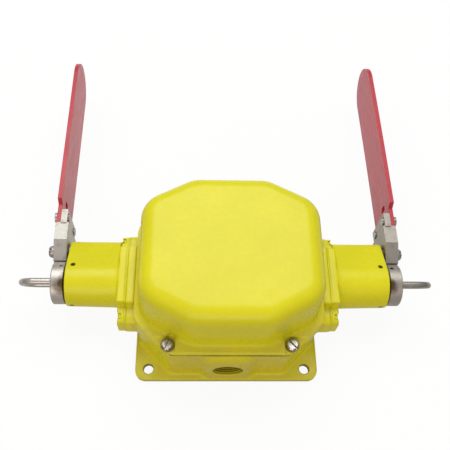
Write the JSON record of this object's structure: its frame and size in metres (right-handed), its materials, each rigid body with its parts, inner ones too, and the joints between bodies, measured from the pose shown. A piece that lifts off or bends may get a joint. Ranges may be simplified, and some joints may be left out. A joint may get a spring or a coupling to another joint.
{
  "type": "rope pull switch",
  "caption": "Cast box with a domed cover, a spring-loaded pull eye at each end, and a hinged red flag beside each eye that swings up when its rope is pulled.",
  "frame": {"origin": "centre of the four mounting holes, on the underside of the base plate", "axes": "+X along the rope to the right-hand pull eye, +Y from the conduit entry to the flags, +Z out of the base plate to the domed cover"},
  "size_m": [0.3694, 0.3267, 0.125],
  "materials": {
    "yellow_paint": "satin",
    "red_paint": "satin",
    "ground_steel": "satin",
    "turned_steel": "satin",
    "stainless_rod": "satin",
    "zinc_steel": "satin",
    "bronze": "satin",
    "spring_steel": "satin",
    "black_rubber": "matt",
    "black_steel": "matt",
    "black_plastic": "matt",
    "ivory_plastic": "gloss",
    "terminal_brass": "satin",
    "green_paint": "satin"
  },
  "bodies": {
    "housing": {"base_housing": "yellow_paint", "cover": "yellow_paint", "cover_gasket": "black_rubber", "cover_screws": "turned_steel", "switch_bracket": "zinc_steel", "bracket_screws": "turned_steel", "switch_screws": "turned_steel", "terminal_block": "black_plastic", "terminal_screws": "terminal_brass", "ground_screw": "green_paint", "left_spring_housing": "yellow_paint", "left_flange_gasket": "black_rubber", "left_flange_screws": "yellow_paint", "left_end_bushing": "bronze", "left_shaft_seal": "black_rubber", "left_set_screws": "black_steel", "left_limit_switch": "black_plastic", "left_pivot_bolt": "turned_steel", "left_pivot_washer": "zinc_steel", "right_spring_housing": "yellow_paint", "right_flange_gasket": "black_rubber", "right_flange_screws": "yellow_paint", "right_end_bushing": "bronze", "right_shaft_seal": "black_rubber", "right_set_screws": "black_steel", "right_limit_switch": "black_plastic", "right_pivot_bolt": "turned_steel", "right_pivot_washer": "zinc_steel"},
    "left_flag": {"left_flag_lever": "ground_steel", "left_pivot_bush": "bronze", "left_flag_blade": "red_paint", "left_flag_rivets": "turned_steel"},
    "left_pull": {"left_pull_shaft": "turned_steel", "left_collar": "turned_steel", "left_collar_pin": "black_steel", "left_pull_eye": "stainless_rod", "left_return_spring": "spring_steel", "left_spring_washer": "zinc_steel", "left_retaining_ring": "black_steel", "left_cam": "bronze"},
    "left_plunger_body": {"left_plunger": "ivory_plastic"},
    "right_flag": {"right_flag_lever": "ground_steel", "right_pivot_bush": "bronze", "right_flag_blade": "red_paint", "right_flag_rivets": "turned_steel"},
    "right_pull": {"right_pull_shaft": "turned_steel", "right_collar": "turned_steel", "right_collar_pin": "black_steel", "right_pull_eye": "stainless_rod", "right_return_spring": "spring_steel", "right_spring_washer": "zinc_steel", "right_retaining_ring": "black_steel", "right_cam": "bronze"},
    "right_plunger_body": {"right_plunger": "ivory_plastic"}
  },
  "joints": [
    {"name": "left_flag_hinge", "type": "hinge", "parent": "housing", "child": "left_flag", "pos_m": [-0.14925, 0.0304, 0.0434], "axis": [1, 0, 0], "range_deg": [0, 90]},
    {"name": "left_rope_pull", "type": "slide", "parent": "housing", "child": "left_pull", "axis": [-1, 0, 0], "range_m": [0, 0.021], "stiffness_N_per_m": 1500, "springref_m": -0.01, "deforming": ["left_return_spring"]},
    {"name": "left_plunger_slide", "type": "slide", "parent": "housing", "child": "left_plunger_body", "axis": [0, 0, 1], "range_m": [0, 0.0042]},
    {"name": "right_flag_hinge", "type": "hinge", "parent": "housing", "child": "right_flag", "pos_m": [0.14925, 0.0304, 0.0434], "axis": [1, 0, 0], "range_deg": [0, 90]},
    {"name": "right_rope_pull", "type": "slide", "parent": "housing", "child": "right_pull", "axis": [1, 0, 0], "range_m": [0, 0.021], "stiffness_N_per_m": 1500, "springref_m": -0.01, "deforming": ["right_return_spring"]},
    {"name": "right_plunger_slide", "type": "slide", "parent": "housing", "child": "right_plunger_body", "axis": [0, 0, 1], "range_m": [0, 0.0042]}
  ],
  "couplings": [
    {"joint": "left_rope_pull", "follows": "left_flag_hinge", "m_per_rad": 0.013368},
    {"joint": "left_plunger_slide", "follows": "left_flag_hinge", "m_per_rad": 0.0026736},
    {"joint": "right_rope_pull", "follows": "right_flag_hinge", "m_per_rad": 0.013368},
    {"joint": "right_plunger_slide", "follows": "right_flag_hinge", "m_per_rad": 0.0026736}
  ]
}
